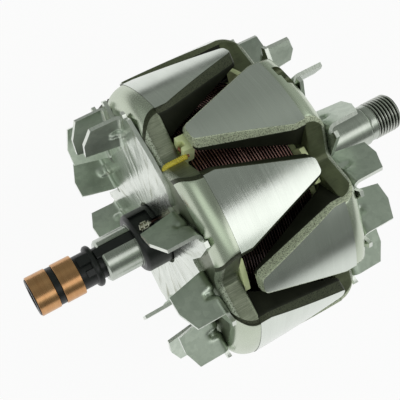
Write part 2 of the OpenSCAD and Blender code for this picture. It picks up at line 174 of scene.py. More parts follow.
# Painted pool of light: the paper is coloured pale near the rotor and dim far from it.
painted_light_pool = floor_finish.node("MapRange", {"interpolation_type": "SMOOTHSTEP"},
                         {"Value": off_middle, "From Min": NEAR_HALF * MM,
                          "From Max": FAR_HALF * MM, "To Min": 1.0, "To Max": 0.0})
painted_pool_tone = floor_finish.mix(painted_light_pool, PAPER_PAINTED_DIM, PAPER_PAINTED_POOL)
paper = floor_finish.node("BsdfDiffuse", {}, {"Color": painted_pool_tone})
looked_at = floor_finish.node("LightPath", output="Is Camera Ray")
mirrored = floor_finish.node("LightPath", output="Is Glossy Ray")
passed = floor_finish.node("LightPath", output="Is Transmission Ray")
# Painted reflection: glossy rays see the floor's glow only inside that painted pool of light.
shown = PAPER_GLOW * (looked_at | mirrored * painted_light_pool | passed)
paper_seen = floor_finish.node("MixShader", {}, {0: shown, 1: paper, 2: glow})
floor_finish.node("OutputMaterial", {}, {"Surface": paper_seen})
floor_mesh.materials.append(floor_finish.owner)

lamp_data = bpy.data.lights.new("lamp_front", "AREA")
lamp_data.shape = "RECTANGLE"
lamp_data.size, lamp_data.size_y = 900 * MM, 400 * MM
lamp_data.energy, lamp_data.color = 0.95, (1.0, 0.94, 1.0)
lamp = place(lamp_data, "lamp_front")
lamp.location = Vector((304, -597, 743)) * MM
lamp.rotation_euler = (-lamp.location).to_track_quat("-Z", "Y").to_euler()

camera_data = bpy.data.cameras.new("camera")
camera_data.sensor_width = 36
camera_data.lens = 75.257
camera = place(camera_data, "camera")
camera.location = Vector((-100.083, -95.557, 299.352)) * MM
camera.rotation_euler = [math.radians(a) for a in (23.755, -5.152, -31.153)]
bpy.context.scene.camera = camera
bpy.context.scene.view_settings.view_transform = "Standard"

# Shaft: a bar of alloy steel, turned, with both bearing seats ground. The drive
# end carries a rolled M16 thread for the pulley nut. Two slots milled in the
# rear seat take the lead bars.
SEAT_R, PRESS_R, HUB_IN_R = 8.5, 9.2, 8.7
SHANK_R, THREAD_R, THREAD_ROOT_R, THREAD_PITCH = 7.8, 8.0, 7.08, 1.5
STUB_R, STUB_X, SEAT_X, HUB_X = 4.5, -81.6, -54.6, -40.6
POLE_HALF, DRIVE_X, THREAD_X, END_X = 28.5, 68.5, 71.5, 83.0
CHAMFER, POLE_FI = 0.9, 112.5
BAR_AT, OPPOSITE = -32, 180
BAR_IN_R, BAR_W, BAR_END_X = 6.2, 3.9, -33.2
THREAD_FORM = (0.0, 0.0, 0.22, 0.62, 0.95, 1.0, 0.95, 0.62, 0.22)
CENTRE_HOLE = ((0, 3.2), (1.2, 2.4), (4.0, 0.9), (4.5, 0))
THREADED = 1


def at(x, r, rel, w=0.0):
    """A point at station x and radius r, turned by rel from the pole that faces forward."""
    fi = math.radians(POLE_FI + rel)
    y, z = r * math.cos(fi) - w * math.sin(fi), r * math.sin(fi) + w * math.cos(fi)
    return Vector((x, y, z)) * MM


def rounded(outline, radius, steps=4):
    """The outline with each inner corner replaced by a small arc."""
    points = [Vector(p) for p in outline]
    result = [points[0]]
    for before, corner, after in zip(points, points[1:], points[2:]):
        back, ahead = before - corner, after - corner
        reach = min(radius, 0.45 * back.length, 0.45 * ahead.length)
        start = corner + back.normalized() * reach
        end = corner + ahead.normalized() * reach
        for k in range(steps + 1):
            t = k / steps
            result.append((1 - t) ** 2 * start + 2 * t * (1 - t) * corner + t ** 2 * end)
    return [tuple(p) for p in result + [points[-1]]]


def lathe(bm, outline, around=128, closed=False):
    """Turns an outline of (x, r) points about the axis."""
    rings = []
    for x, r in outline:
        if r == 0:
            rings.append([bm.verts.new(at(x, 0, 0))] * around)
        else:
            rings.append([bm.verts.new(at(x, r, 360 * k / around)) for k in range(around)])
    pairs = list(zip(rings, rings[1:])) + ([(rings[-1], rings[0])] if closed else [])
    for low, high in pairs:
        for k in range(around):
            n = (k + 1) % around
            corners = list(dict.fromkeys((low[k], low[n], high[n], high[k])))
            if len(corners) > 2:
                bm.faces.new(corners)


def band(bm, low, high):
    """A closed band of faces between two loops of points."""
    count = len(low)
    return [bm.faces.new((low[k], low[(k + 1) % count], high[(k + 1) % count], high[k]))
            for k in range(count)]


def helix(bm, x0, x1, pitch, section, radius_at, around=96):
    """Rows that climb one pitch a turn. section gives the depth at each share of a pitch."""
    across = len(section)
    rows = (int((x1 - x0) / pitch) + 2) * across
    grid = []
    for j in range(rows + 1):
        row = []
        for i in range(around):
            x = x0 - pitch + (j / across + i / around) * pitch
            held = min(max(x, x0), x1)
            r = radius_at(held, section[j % across], x != held)
            row.append(bm.verts.new(at(held, r, 360 * i / around)))
        grid.append(row)
    for j in range(rows):
        for i in range(around):
            if i + 1 < around:
                n, up = i + 1, j
            else:
                n, up = 0, j + across
            if up + 1 <= rows:
                bm.faces.new((grid[j][i], grid[up][n], grid[up + 1][n], grid[j + 1][i]))
    bmesh.ops.remove_doubles(bm, verts=bm.verts, dist=1e-7)


def block(bm, rel, r0, r1, w, x0, x1):
    """A straight block on a radius."""
    corners = [bm.verts.new(at(x, r, rel, t * w / 2))
               for x in (x0, x1) for r in (r0, r1) for t in (-1, 1)]
    for quad in ((0, 1, 3, 2), (4, 6, 7, 5), (0, 4, 5, 1),
                 (2, 3, 7, 6), (0, 2, 6, 4), (1, 5, 7, 3)):
        bm.faces.new([corners[k] for k in quad])


def kept(bm, name):
    """Turns what was drawn into an object."""
    mesh = bpy.data.meshes.new(name)
    bm.to_mesh(mesh)
    bm.free()
    return place(mesh, name)


def solid(bm, name):
    bmesh.ops.recalc_face_normals(bm, faces=bm.faces)
    return kept(bm, name)


def marked(bm, zone):
    """Gives all the faces one finish."""
    for face in bm.faces:
        face.material_index = zone
    return bm


def settle(piece):
    """Puts what the modifiers make into the piece's own mesh."""
    seen_mesh = bpy.data.meshes.new_from_object(
        piece.evaluated_get(bpy.context.evaluated_depsgraph_get()))
    piece.modifiers.clear()
    piece.data = seen_mesh


def cut(piece, cutter):
    """Takes the cutter's shape out of the piece."""
    step = piece.modifiers.new("cut", "BOOLEAN")
    step.operation, step.solver, step.object = "DIFFERENCE", "EXACT", cutter
    settle(piece)
    bpy.data.objects.remove(cutter)


def soften(piece, width, angle=40, segments=2):
    """Breaks the sharp edges, as a file or a mould does."""
    step = piece.modifiers.new("soften", "BEVEL")
    step.width, step.segments = width * MM, segments
    step.limit_method, step.angle_limit = "ANGLE", math.radians(angle)
    settle(piece)


def fit(piece, finishes, nodes, angle=32):
    """Shades the piece, gives it its finish and sets it on the rotor in place of its CAD nodes."""
    bm = bmesh.new()
    bm.from_mesh(piece.data)
    for face in bm.faces:
        face.smooth = True
    for edge in bm.edges:
        edge.smooth = len(edge.link_faces) == 2 and edge.calc_face_angle(0) < math.radians(angle)
    bm.to_mesh(piece.data)
    bm.free()
    for finish in finishes:
        piece.data.materials.append(finish.owner)
    weights = piece.modifiers.new("shading", "WEIGHTED_NORMAL")
    weights.keep_sharp = True
    settle(piece)
    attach(piece, "root")
    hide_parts(*nodes)


def stretched(finish, sx, sy, sz):
    """Object coordinates in mm, scaled on each axis, so that grain can be drawn out."""
    where = finish.node("TexCoord", output="Object")
    scale = (sx / MM, sy / MM, sz / MM)
    return finish.node("VectorMath", {"operation": "MULTIPLY"}, {0: where, 1: scale})


def grain(finish, where, detail=2.0, rough=0.5):
    return finish.node("TexNoise", {}, {"Vector": where, "Scale": 1.0, "Detail": detail,
                                        "Roughness": rough})


def even_grain(finish, size, detail, rough=0.5):
    """Grain that is the same on all axes. A larger size is finer."""
    return grain(finish, stretched(finish, size, size, size), detail, rough)


def along_axes(finish, names):
    """Object coordinates in mm on the named axes."""
    where = stretched(finish, 1, 1, 1)
    return [finish.node("SeparateXYZ", {}, {0: where}, output=name) for name in names]


def from_axis(finish):
    """Distance in mm from the rotor's axis."""
    beside, above = along_axes(finish, "YZ")
    return (beside * beside + above * above) ** 0.5


def ranged(finish, value, low, high, least=0.0):
    """Goes from least to 1 as the value goes from low to high."""
    return finish.node("MapRange", {}, {"Value": value, "From Min": low, "From Max": high,
                                        "To Min": least})


def bump(finish, height, strength, depth):
    """Relief of the given depth in mm."""
    return finish.node("Bump", {}, {"Height": height, "Strength": strength, "Distance": depth * MM})


def shine(finish, colour, roughness, metallic, normal=None, coat=0.0, gloss=0.5):
    sockets = {"Base Color": colour, "Roughness": roughness, "Metallic": metallic,
               "Coat Weight": coat, "Specular IOR Level": gloss}
    if normal:
        sockets["Normal"] = normal
    surface = finish.node("BsdfPrincipled", {}, sockets)
    finish.node("OutputMaterial", {}, {"Surface": surface})
    return finish


def turned_steel(name, dark, pale, roughness, pitch, relief):
    """Steel with fine tool marks around the axis and a few wider bands."""
    finish = new_finish(name)
    marks = grain(finish, stretched(finish, 1 / pitch, 0.02, 0.02), detail=3.0, rough=0.7)
    bands = grain(finish, stretched(finish, 0.35, 0.03, 0.03), detail=2.0)
    smear = even_grain(finish, 0.12, detail=3.0)
    colour = finish.mix(0.65 * marks + 0.35 * bands, dark, pale)
    rough = roughness + 0.16 * (smear - 0.5) + 0.10 * (marks - 0.5)
    return shine(finish, colour, rough, 1.0, bump(finish, marks, 0.35, relief))


bm = bmesh.new()
lathe(bm, rounded([
    (STUB_X, 0), (STUB_X, STUB_R), (SEAT_X, STUB_R), (SEAT_X, SEAT_R - CHAMFER),
    (SEAT_X + CHAMFER, SEAT_R), (HUB_X, SEAT_R), (HUB_X, HUB_IN_R), (-POLE_HALF, HUB_IN_R),
    (-POLE_HALF, PRESS_R), (POLE_HALF, PRESS_R), (POLE_HALF, SEAT_R), (DRIVE_X - CHAMFER, SEAT_R),
    (DRIVE_X, SEAT_R - CHAMFER), (DRIVE_X, SHANK_R - 0.1), (DRIVE_X + 0.5, SHANK_R),
    (THREAD_X, SHANK_R), (THREAD_X + 0.6, THREAD_ROOT_R), (THREAD_X + 0.6, 0),
], 0.18, 3))
shaft = solid(bm, "shaft_turned")
slots = bmesh.new()
for rel in (BAR_AT, BAR_AT + OPPOSITE):
    block(slots, rel, BAR_IN_R - 0.05, 12, BAR_W + 0.1, SEAT_X - 1, BAR_END_X)
cut(shaft, solid(slots, "slot_cutter"))


def thread_radius(x, depth, beyond):
    """Radius of the thread, with a run-out at its root end and a chamfer at its nose."""
    if beyond:
        return THREAD_ROOT_R
    run_out = min(1, (x - THREAD_X) / 1.2)
    nose = THREAD_ROOT_R + min(1, (END_X - x) / CHAMFER) * (THREAD_R - THREAD_ROOT_R)
    return min(nose, THREAD_R - (0.2 + 0.8 * run_out) * depth * (THREAD_R - THREAD_ROOT_R))


bm = bmesh.new()
bm.from_mesh(shaft.data)
thread = bmesh.new()
helix(thread, THREAD_X, END_X, THREAD_PITCH, THREAD_FORM, thread_radius)
thread_mesh = bpy.data.meshes.new("thread")
marked(thread, THREADED).to_mesh(thread_mesh)
thread.free()
bm.from_mesh(thread_mesh)
lathe(bm, [(END_X, THREAD_ROOT_R)] + [(END_X - depth, r) for depth, r in CENTRE_HOLE])
bmesh.ops.recalc_face_normals(bm, faces=bm.faces)
bm.to_mesh(shaft.data)
bm.free()
shaft_steel = turned_steel("shaft_steel", (0.33, 0.36, 0.32, 1), (0.64, 0.68, 0.61, 1),
                           roughness=0.24, pitch=0.22, relief=0.02)
thread_steel = new_finish("thread_steel")
# Painted shade: by distance from the axis, the thread's roots are coloured near black and its
# crests pale.
groove_shade_mask = ranged(thread_steel, from_axis(thread_steel), THREAD_ROOT_R + 0.17, THREAD_R - 0.1)
oil = even_grain(thread_steel, 0.6, detail=3.0)
thread_tone = thread_steel.mix(groove_shade_mask * (0.75 + 0.4 * oil),
                               (0.012, 0.013, 0.010, 1), (0.62, 0.64, 0.59, 1))
shine(thread_steel, thread_tone, 0.20 + 0.2 * oil, 1.0, bump(thread_steel, oil, 0.2, 0.03))
fit(shaft, [shaft_steel, thread_steel], ["shaft"], angle=50)

# Pole core: the plain soft iron ring inside the coil, pressed on the shaft
# between the two claw poles. Only its ends could ever be seen.
core_iron = turned_steel("core_iron", (0.20, 0.20, 0.19, 1), (0.34, 0.35, 0.33, 1),
                         roughness=0.42, pitch=0.3, relief=0.02)
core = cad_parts["pole_core"]
core.data.materials.clear()
core.data.materials.append(core_iron.owner)

# Coil bobbin: a spool moulded in pale nylon. Its flanges have tongues that
# reach out between the fingers, and a lug on each side guides a lead.
CORE_R, BOBBIN_WALL = 28.0, 1.6
FLANGE_X, FLANGE_T, FLANGE_R = 19.7, 2.3, 41.0
TONGUE_R, TONGUE_HALF_W, GUIDE_R, GUIDE_T = 47.5, 6.9, 50.6, 4.6
TONGUE_FOOT_R, TONGUE_ARC = 20, (-8.35, -4, 0, 4, 8.35)
WINDING_R, LEAD_AT, LEAD_OUT_R = 42.0, -28.5, 47.47
PITCH = 60
LUG_PLACES = (150, 330)
STAINED = 1


def sheet(bm, outlines, holes, x0, x1):
    """A flat plate from x0 to x1: all inside the outlines, less the holes, as (y, z) in mm."""
    corners, faces = [], []
    for outline in outlines + holes:
        faces.append(list(range(len(corners), len(corners) + len(outline))))
        corners += [Vector(p) for p in outline]
    spots, _, triangles, _, _, origins = delaunay_2d_cdt(corners, [], faces, 1, 1e-5)
    kept = [tri for tri, origin in zip(triangles, origins)
            if origin and max(origin) < len(outlines)]
    layers = []
    for x in (x0, x1):
        layers.append({k: bm.verts.new(Vector((x, *spots[k])) * MM)
                       for tri in kept for k in tri})
    sides = {}
    for tri in kept:
        bm.faces.new([layers[0][k] for k in tri])
        bm.faces.new([layers[1][k] for k in tri])
        for edge in zip(tri, tri[1:] + tri[:1]):
            key = tuple(sorted(edge))
            sides[key] = sides.get(key, 0) + 1
    for (a, b), times in sides.items():
        if times == 1:
            bm.faces.new((layers[0][a], layers[0][b], layers[1][b], layers[1][a]))
    bmesh.ops.recalc_face_normals(bm, faces=bm.faces)
    bmesh.ops.dissolve_limit(bm, angle_limit=0.01, verts=bm.verts, edges=bm.edges)


def flat(r, rel, w=0.0):
    """A point of a plate's outline, as (y, z) in mm."""
    spot = at(0, r, rel, w) / MM
    return spot.y, spot.z


def disc(r, around=96):
    return [flat(r, 360 * k / around) for k in range(around)]


def join(name, *makers):
    """One object from several closed shapes."""
    whole = bmesh.new()
    for made in makers:
        bmesh.ops.recalc_face_normals(made, faces=made.faces)
        held = bpy.data.meshes.new("held")
        made.to_mesh(held)
        made.free()
        whole.from_mesh(held)
        bpy.data.meshes.remove(held)
    return kept(whole, name)


def flange(first, x0, x1):
    made = bmesh.new()
    tongues = [[flat(TONGUE_FOOT_R, rel, -TONGUE_HALF_W)]
               + [flat(TONGUE_R, rel + a) for a in TONGUE_ARC]
               + [flat(TONGUE_FOOT_R, rel, TONGUE_HALF_W)]
               for rel in (first + k * PITCH for k in range(6)) if rel not in LUG_PLACES]
    sheet(made, [disc(FLANGE_R)] + tongues, [disc(CORE_R + BOBBIN_WALL - 0.2)], x0, x1)
    return made


def lug(rel):
    """The guide block beside the lead, with a notch on its outer side for the wire."""
    made = bmesh.new()
    low, high, wall, notch = -5.9, 0.6, 2.0, 1.9
    back, front = -FLANGE_X, -FLANGE_X + GUIDE_T
    outline = [(back, low), (back, low + wall), (back + notch, low + wall + 0.4),
               (back + notch, high - wall - 0.2), (back, high - wall), (back, high),
               (front, high), (front, low)]
    layers = [[made.verts.new(at(x, r, rel, w)) for x, w in outline]
              for r in (WINDING_R + 0.3, GUIDE_R)]
    made.faces.new(layers[0])
    made.faces.new(layers[1])
    band(made, *layers)
    block(made, rel - 3.6, FLANGE_R - 1.5, WINDING_R + 0.4, 6.4, back, back + FLANGE_T)
    return made


tube = bmesh.new()
lathe(tube, [(-FLANGE_X, CORE_R + 0.05), (-FLANGE_X, CORE_R + BOBBIN_WALL),
             (FLANGE_X, CORE_R + BOBBIN_WALL), (FLANGE_X, CORE_R + 0.05)], closed=True)
bobbin = join("bobbin", marked(tube, STAINED),
              flange(PITCH / 2, -FLANGE_X, -FLANGE_X + FLANGE_T),
              flange(0, FLANGE_X - FLANGE_T, FLANGE_X), lug(LEAD_AT), lug(LEAD_AT + OPPOSITE))
soften(bobbin, 0.35)


def nylon(name, dark, pale):
    finish = new_finish(name)
    cloud = even_grain(finish, 0.22, detail=4.0)
    speck = even_grain(finish, 2.2, detail=2.0)
    return shine(finish, finish.mix(cloud, dark, pale), 0.38 + 0.2 * speck, 0.0,
                 bump(finish, speck, 0.3, 0.05))


clean_nylon = nylon("bobbin_nylon", (0.82, 0.92, 0.44, 1), (0.92, 0.98, 0.62, 1))
stained_nylon = nylon("bobbin_nylon_varnished", (0.020, 0.023, 0.014, 1),
                      (0.11, 0.12, 0.075, 1))
fit(bobbin, [clean_nylon, stained_nylon], ["coil_bobbin"])

# Field winding: enamelled copper wire wound tight in even layers and set in
# varnish, so the turns stand as fine ridges. Their colour is painted light: a
# pale pink painted highlight on each crest, a dark line of painted shade between
# turns, and more painted shade on the winding's -Y side.
WIRE_PITCH, WINDING_HALF = 1.09, 17.1
WIRE_FORM = (0.0, 0.07, 0.28, 0.66, 1.0, 0.66, 0.28, 0.07)
CREST, GROOVE, UNEVEN = 0.12, 0.5, 0.1
END_R, UNDER_R = WINDING_R - 1.0, CORE_R + BOBBIN_WALL + 0.1


def winding_radius(x, depth, beyond):
    """Radius of the turns, each a little above or below the next."""
    if beyond:
        return END_R
    turn = math.floor(x / WIRE_PITCH)
    return WINDING_R - CREST - GROOVE * depth + UNEVEN * noise.noise((turn * 0.7, 1.3, 0))


bm = bmesh.new()
helix(bm, -WINDING_HALF, WINDING_HALF, WIRE_PITCH, WIRE_FORM, winding_radius)
lathe(bm, [(-WINDING_HALF, END_R), (-WINDING_HALF, UNDER_R),
           (WINDING_HALF, UNDER_R), (WINDING_HALF, END_R)])
winding = solid(bm, "winding")
enamel = new_finish("winding_enamel")
layers = grain(enamel, stretched(enamel, 0.8, 0.05, 0.05), detail=3.0)
varnish = even_grain(enamel, 0.3, detail=4.0)
# Painted light: crests get the pale painted highlight tone, grooves near-black painted shade, and
# the winding is painted darker toward -Y.
crest_light_groove_shade = ranged(enamel, from_axis(enamel), WINDING_R - 0.36, WINDING_R - CREST)
across, = along_axes(enamel, "Y")
painted_side_shade = ranged(enamel, across, -26, -12, least=0.12)
painted_highlight_tone = enamel.mix(layers, (0.20, 0.040, 0.030, 1), (1.0, 0.60, 0.54, 1))
shine(enamel, enamel.mix(crest_light_groove_shade * painted_side_shade, (0.006, 0.003, 0.002, 1), painted_highlight_tone), 0.16 + 0.2 * varnish,
      0.85, bump(enamel, varnish, 0.2, 0.04), coat=0.3)
fit(winding, [enamel], ["field_winding"], angle=60)

# Claw poles: two steel forgings with six tapered fingers each, pressed on the
# shaft face to face so the fingers mesh. The faces are turned after assembly,
# the shoulders stay smooth, and the sides keep their forged skin under resin.
POLE_R, COIL_HALF, TIP_X = 57.49, 20.0, -16.8
ROOT_HALF_W, TIP_HALF_W, TAPER_X, TIP_ROUND = 13.9, 3.2, 16.2, 2.0
ROOT_IN_R, FOOT_R, TIP_IN_R, FOOT_X = 44.5, 40.7, 52.5, 17.3
BAND, DRAFT, EDGE = 4.2, 20, 0.4
WALL_A, VALLEY_C, VALLEY_FILLET = 57.1, 50.06, 4.0
SHOULDER_R, RIM_R, TURNED_STEP, RIM_CORNER = 8.0, 2.4, 0.12, 1.6
FACE, SHOULDER, SIDE, SKIN, FLANK, RIM = 0, 1, 2, 3, 4, 5
DRILLINGS, DRILL_AT_R, DRILL_OUT_X = ((-37.2, 2.7, 22.6), (-32.8, 2.3, 23.6)), 55.4, 31


def lobe_outline(inset, top_r):
    """Half of one lobe's outline, from the gap's middle to the lobe's, as (r, angle, zone)."""
    wall = math.radians(WALL_A)
    along = Vector((math.cos(wall), math.sin(wall)))
    inward = Vector((-math.sin(wall), math.cos(wall)))
    bend = VALLEY_FILLET + inset
    points = []
    for k in range(7):
        a = math.pi - (math.pi / 2 - wall) * k / 6
        points.append((Vector((VALLEY_C + bend * math.cos(a), bend * math.sin(a))), SKIN))
    foot = Vector((VALLEY_C, 0)) + inward * bend
    half = foot.dot(along)
    reach = -half + math.sqrt(half ** 2 - foot.length_squared + top_r ** 2)
    corner = foot + along * reach
    trim = min(RIM_CORNER, reach * 0.4)
    for k in range(1, 6):
        points.append((foot + along * (reach - trim) * k / 5, SKIN))
    corner_a = math.atan2(corner.y, corner.x)
    start, turned = foot + along * (reach - trim), corner_a + trim / top_r
    end = Vector((math.cos(turned), math.sin(turned))) * top_r
    for k in range(1, 4):
        t = k / 4
        points.append(((1 - t) ** 2 * start + 2 * t * (1 - t) * corner + t ** 2 * end, SIDE))
    polar = [(p.length, PITCH / 2 - math.degrees(math.atan2(p.y, p.x)), zone) for p, zone in points]
    last = PITCH / 2 - math.degrees(turned)
    return polar + [(top_r, last * (1 - k / 8), SHOULDER) for k in range(9)]


def claw_disc(bm, side, first):
    """The lobed disc of a claw pole, with rounded shoulders and a rounded rim between them."""
    stations = [(COIL_HALF, 0.5), (COIL_HALF + 0.15, 0.2), (COIL_HALF + 0.5, 0.0)]
    stations += [(COIL_HALF + 0.5 + 8 * math.sin(math.radians(a)), None) for a in range(6, 91, 6)]
    rings, zones = [], []
    for x, inset in stations:
        rise = max(0.0, min(x - COIL_HALF - 0.5, SHOULDER_R))
        drop = SHOULDER_R - math.sqrt(SHOULDER_R ** 2 - rise ** 2)
        if inset is None:
            painted_light_pool = max(0.0, min(x - (POLE_HALF - RIM_R), RIM_R))
            inset = RIM_R - math.sqrt(RIM_R ** 2 - painted_light_pool ** 2)
        half = lobe_outline(inset, POLE_R - TURNED_STEP - drop)
        lobe = [(r, -a, zone) for r, a, zone in half]
        lobe += [(r, a, zone) for r, a, zone in reversed(half[1:-1])]
        whole = [(r, first + k * PITCH + a, zone) for k in range(6) for r, a, zone in lobe]
        rings.append([bm.verts.new(at(side * x, r, a)) for r, a, zone in whole])
        zones = [zone for r, a, zone in whole]
        angles = [a for r, a, zone in whole]
    bores = [[bm.verts.new(at(side * x, PRESS_R + 0.05, a)) for a in angles]
             for x in (COIL_HALF, POLE_HALF)]
    loops = [bores[0]] + rings + [bores[1], bores[0]]
    for row, (low, high) in enumerate(zip(loops, loops[1:])):
        flat_face = low in bores or high in bores
        worn = not flat_face and stations[row][0] > POLE_HALF - RIM_R + 0.5
        for k, face in enumerate(band(bm, low, high)):
            zone = SKIN if flat_face else min(zones[k], zones[(k + 1) % len(zones)])
            face.material_index = RIM if worn and zone == SKIN else zone


def finger_section(half_w, in_r, shrink=0.0):
    """Half a finger's section, from its face's middle to its underside's, as (w, r, zone)."""
    draft = math.radians(DRAFT)
    top, band_r = POLE_R - shrink, POLE_R - BAND
    side_w = half_w + BAND * math.tan(draft) - shrink
    edge_w = half_w - shrink
    for _ in range(3):
        edge_r = math.sqrt(top ** 2 - edge_w ** 2)
        edge_w = side_w - (edge_r - band_r) * math.tan(draft) - EDGE
    points = [(edge_w * k / 8, math.sqrt(top ** 2 - (edge_w * k / 8) ** 2), FACE)
              for k in range(9)]
    for a in (68, 44, DRAFT):
        points.append((edge_w + EDGE * math.cos(math.radians(a)),
                       edge_r - EDGE + EDGE * math.sin(math.radians(a)), SIDE))
    low_r = min(in_r + shrink, band_r - 0.9)
    points += [(side_w - 0.18, band_r + 0.5, SIDE), (side_w - 0.02, band_r, FLANK),
               (side_w, band_r - 0.4, FLANK), (side_w, low_r + 0.35, FLANK),
               (side_w - 0.35, low_r, FLANK), (0.0, low_r, FLANK)]
    return points


def finger(bm, side, rel):
    """One tapered finger, from inside the disc to its tip."""
    taper = math.atan2(ROOT_HALF_W - TIP_HALF_W, TAPER_X - TIP_X)
    middle_w = TIP_HALF_W + TIP_ROUND * math.tan(taper) - TIP_ROUND / math.cos(taper)
    plan = [(COIL_HALF + 0.6, ROOT_HALF_W), (18.2, ROOT_HALF_W), (TAPER_X, ROOT_HALF_W)]
    steps = 14
    near_tip_x = TIP_X + TIP_ROUND - TIP_ROUND * math.sin(taper)
    near_tip_w = middle_w + TIP_ROUND * math.cos(taper)
    for k in range(1, steps + 1):
        t = k / steps
        plan.append((TAPER_X + (near_tip_x - TAPER_X) * t,
                     ROOT_HALF_W + (near_tip_w - ROOT_HALF_W) * t))
    for a in (32, 46, 60, 74, 86):
        b = math.radians(a)
        plan.append((TIP_X + TIP_ROUND - TIP_ROUND * math.sin(b),
                     middle_w + TIP_ROUND * math.cos(b)))
    rings, zones = [], []
    for k, (x, half_w) in enumerate(plan + [(TIP_X, plan[-1][1])]):
        if x > FOOT_X:
            in_r = ROOT_IN_R - (x - FOOT_X) / (COIL_HALF + 0.6 - FOOT_X) * (ROOT_IN_R - FOOT_R)
        else:
            in_r = ROOT_IN_R + (FOOT_X - x) / (FOOT_X - TIP_X) * (TIP_IN_R - ROOT_IN_R)
        half = finger_section(half_w, in_r, 0.35 if k == len(plan) else 0.0)
        whole = half + [(-w, r, zone) for w, r, zone in reversed(half[1:-1])]
        rings.append([bm.verts.new(at(side * x, r, rel, w)) for w, r, zone in whole])
        zones = [zone for w, r, zone in whole]
    for low, high in zip(rings, rings[1:]):
        for k, face in enumerate(band(bm, low, high)):
            face.material_index = max(zones[k], zones[(k + 1) % len(zones)])
    bm.faces.new(rings[0]).material_index = FLANK
    bm.faces.new(rings[-1]).material_index = SIDE


def threshold(finish, value, low, high):
    """Black where the value is under low, white where it is over high."""
    stops = [(low, (0, 0, 0, 1)), (high, WHITE)]
    return finish.node("ValToRGB", {"stops": stops}, {0: value})


pole_face = turned_steel("pole_face_turned", (0.57, 0.61, 0.555, 1), (0.76, 0.81, 0.745, 1),
                         roughness=0.19, pitch=0.30, relief=0.05)

pole_shoulder = new_finish("pole_shoulder_satin")
cloud = even_grain(pole_shoulder, 0.08, detail=3.0)
satin = even_grain(pole_shoulder, 3.0, detail=3.0)
shine(pole_shoulder, pole_shoulder.mix(cloud, (0.46, 0.51, 0.41, 1), (0.60, 0.66, 0.54, 1)),
      0.20 + 0.12 * satin, 1.0, bump(pole_shoulder, satin, 0.2, 0.02))


def forged_side(name, dark, pale, metallic, far_shade=None):
    """The drafted band of a finger: forged steel, speckled where the resin has worn through. With a
    far colour given, the pale tone darkens toward +Y as painted shade.
    """
    finish = new_finish(name)
    cloud = even_grain(finish, 0.15, detail=3.0)
    speck = even_grain(finish, 2.7, detail=3.0, rough=0.6)
    spots = threshold(finish, speck, 0.38, 0.52)
    if far_shade:
        across, = along_axes(finish, "Y")
        pale = finish.mix(ranged(finish, across, 12, 34), pale, far_shade)
    return shine(finish, finish.mix(0.25 * cloud + 0.75 * spots, dark, pale),
                 0.30 + 0.2 * speck, metallic, bump(finish, speck, 0.45, 0.10))


def resin_skin(name, dark, pale, line, metallic):
    """The gap between two lobes: scaled steel with fine marks along the axis, under thin resin."""
    finish = new_finish(name)
    drawn = grain(finish, stretched(finish, 0.14, 4.6, 4.6), detail=3.0, rough=0.6)
    cloud = even_grain(finish, 0.20, detail=4.0)
    speck = even_grain(finish, 1.2, detail=4.0)
    streak = threshold(finish, drawn, 0.40, 0.75)
    tone = finish.mix(0.45 * streak, finish.mix(cloud, dark, pale), line)
    return shine(finish, tone, 0.20 + 0.3 * cloud, metallic,
                 bump(finish, drawn + 0.6 * speck + 4.0 * cloud, 0.4, 0.12))


# Painted light: one forged band in two copies, painted dark as shade on the rear pole and pale as
# light on the front pole, where it also darkens toward +Y as painted shade.
rear_side_shaded = forged_side("rear_side_forged_painted_shade", (0.004, 0.005, 0.002, 1), (0.060, 0.070, 0.036, 1),
                        metallic=0.5)
front_side_lit = forged_side("front_side_forged_painted_light", (0.06, 0.075, 0.035, 1), (0.72, 0.78, 0.58, 1),
                         metallic=0.2, far_shade=(0.16, 0.18, 0.10, 1))
worn_rim = forged_side("rim_worn", (0.05, 0.06, 0.035, 1), (0.50, 0.54, 0.44, 1), metallic=0.8)
# Painted light: the same resin skin in two copies, paler on the rear pole and darker as painted
# shade on the front pole, whose gaps lie in shade.
rear_skin_lit = resin_skin("rear_skin_resin_lit", (0.085, 0.100, 0.062, 1), (0.24, 0.27, 0.19, 1),
                       line=(0.46, 0.50, 0.39, 1), metallic=0.8)
front_skin_shaded = resin_skin("front_skin_resin_painted_shade", (0.022, 0.027, 0.012, 1), (0.17, 0.20, 0.10, 1),
                        line=(0.16, 0.18, 0.10, 1), metallic=0.45)

# Painted shade: the fingers' sides below the band and their undersides, where shade falls, are
# coloured near black; the resin there is dark as well.
pole_flank_shade = new_finish("pole_flank_resin_painted_shade")
cloud = even_grain(pole_flank_shade, 0.2, detail=4.0)
speck = even_grain(pole_flank_shade, 1.8, detail=4.0, rough=0.65)
flank_shade_tone = pole_flank_shade.mix(0.6 * cloud + 0.4 * speck,
                            (0.004, 0.005, 0.003, 1), (0.030, 0.033, 0.020, 1))
shine(pole_flank_shade, flank_shade_tone, 0.45 + 0.25 * speck, 0.0, bump(pole_flank_shade, speck, 0.5, 0.10),
      gloss=0.2)

for name, side, first, side_finish, skin_finish in (
        ("claw_pole_rear", -1, 0, rear_side_shaded, rear_skin_lit),
        ("claw_pole_front", 1, PITCH / 2, front_side_lit, front_skin_shaded)):
    bm = bmesh.new()
    claw_disc(bm, side, first)
    for k in range(6):
        finger(bm, side, first + k * PITCH)
    claw = solid(bm, name + "_forging")
    if side > 0:
        for turn, drill_r, bottom in DRILLINGS:
            drill = bmesh.new()
            lathe(drill, [(bottom, 0), (bottom, drill_r), (DRILL_OUT_X, drill_r), (DRILL_OUT_X, 0)],
                  around=40)
            bmesh.ops.translate(drill, verts=drill.verts, vec=at(0, DRILL_AT_R, turn))
            cut(claw, solid(marked(drill, SKIN), "balance_drill"))
    fit(claw, [pole_face, pole_shoulder, side_finish, skin_finish, pole_flank_shade, worn_rim], [name])

